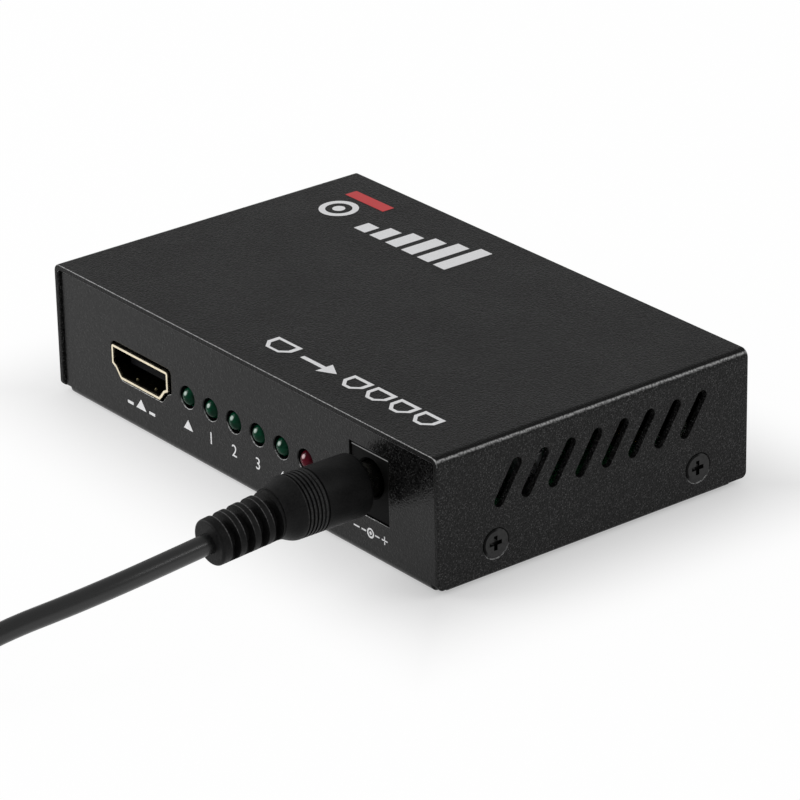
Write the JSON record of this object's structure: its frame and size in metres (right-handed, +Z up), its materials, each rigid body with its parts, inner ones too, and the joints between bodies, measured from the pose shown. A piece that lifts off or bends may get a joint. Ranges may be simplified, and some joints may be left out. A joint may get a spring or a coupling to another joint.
{
  "type": "hdmi splitter",
  "caption": "Black powder coated steel video splitter box with a front input socket, status lamps, rear output sockets and a coaxial power plug with its lead",
  "frame": {"origin": "under the middle of the case, on the surface that the tray's floor rests on; the lead and its far plug are left out of that middle", "axes": "+X runs along the front to the right as seen from in front, +Y from the front panel to the rear panel, +Z up"},
  "size_m": [0.1189, 0.1846, 0.0229],
  "materials": {
    "black_powder_coat": "fine textured powder coat with a slight sparkle",
    "black_powder_coat_tray": "fine textured powder coat",
    "zinc_plated_steel": "bright zinc plate",
    "black_zinc_steel": "black zinc plate, worn to grey on the head",
    "nickel_plated_brass": "nickel plate",
    "nickel_plated_steel": "nickel plate",
    "green_laminate": "solder mask over glass laminate",
    "gold_plated_steel": "thin gold plate",
    "grey_socket_plastic": "moulded socket insulator",
    "gold_contact": "gold flashed contact",
    "green_lamp_resin": "unlit dark green lamp resin",
    "red_lamp_resin": "unlit dark red lamp resin",
    "tinned_steel": "tin plate",
    "black_jack_plastic": "moulded black plastic",
    "black_epoxy": "moulded epoxy",
    "capacitor_aluminium": "satin aluminium can",
    "grey_ferrite": "pressed ferrite powder",
    "tan_ceramic": "fired ceramic",
    "black_moulded_pvc": "matt moulded PVC",
    "black_cord_pvc": "smooth flexible PVC",
    "black_tie_fabric": "woven hook and loop strap",
    "white_plug_plastic": "moulded white plastic"
  },
  "bodies": {
    "case": {"top_cover": "black_powder_coat", "base_tray": "black_powder_coat_tray", "cover_screws": "black_zinc_steel", "board_standoffs": "nickel_plated_brass", "board_screws": "zinc_plated_steel", "main_board": "green_laminate", "input_shell": "gold_plated_steel", "input_insulator": "grey_socket_plastic", "input_contacts": "gold_contact", "output_1_shell": "gold_plated_steel", "output_1_insulator": "grey_socket_plastic", "output_1_contacts": "gold_contact", "output_2_shell": "gold_plated_steel", "output_2_insulator": "grey_socket_plastic", "output_2_contacts": "gold_contact", "output_3_shell": "gold_plated_steel", "output_3_insulator": "grey_socket_plastic", "output_3_contacts": "gold_contact", "output_4_shell": "gold_plated_steel", "output_4_insulator": "grey_socket_plastic", "output_4_contacts": "gold_contact", "led_input": "green_lamp_resin", "led_1": "green_lamp_resin", "led_2": "green_lamp_resin", "led_3": "green_lamp_resin", "led_4": "green_lamp_resin", "led_power": "red_lamp_resin", "led_leads": "tinned_steel", "dc_jack_housing": "black_jack_plastic", "dc_jack_pin": "nickel_plated_brass", "dc_jack_spring": "tinned_steel", "dc_jack_terminals": "tinned_steel", "splitter_chip": "black_epoxy", "splitter_chip_leads": "tinned_steel", "memory_chips": "black_epoxy", "memory_chip_leads": "tinned_steel", "crystal": "nickel_plated_steel", "capacitor_bases": "black_epoxy", "capacitor_cans": "capacitor_aluminium", "voltage_regulators": "black_epoxy", "regulator_leads": "tinned_steel", "power_inductor": "grey_ferrite", "guard_arrays": "black_epoxy", "ceramic_capacitors": "tan_ceramic", "chip_resistors": "black_epoxy"},
    "power_plug": {"plug_barrel": "nickel_plated_brass", "plug_insulator": "black_jack_plastic", "plug_inner_sleeve": "nickel_plated_brass", "plug_grip": "black_moulded_pvc", "power_cord": "black_cord_pvc", "cord_coil": "black_cord_pvc", "cord_tail": "black_cord_pvc", "cord_tie": "black_tie_fabric", "far_plug_grip": "black_moulded_pvc", "far_plug_shell": "nickel_plated_steel", "far_plug_insulator": "white_plug_plastic", "far_plug_contacts": "gold_contact"}
  },
  "joints": [
    {"name": "plug_slide", "type": "slide", "parent": "case", "child": "power_plug", "axis": [0, -1, 0], "range_m": [-0.0023, 0.012]}
  ]
}
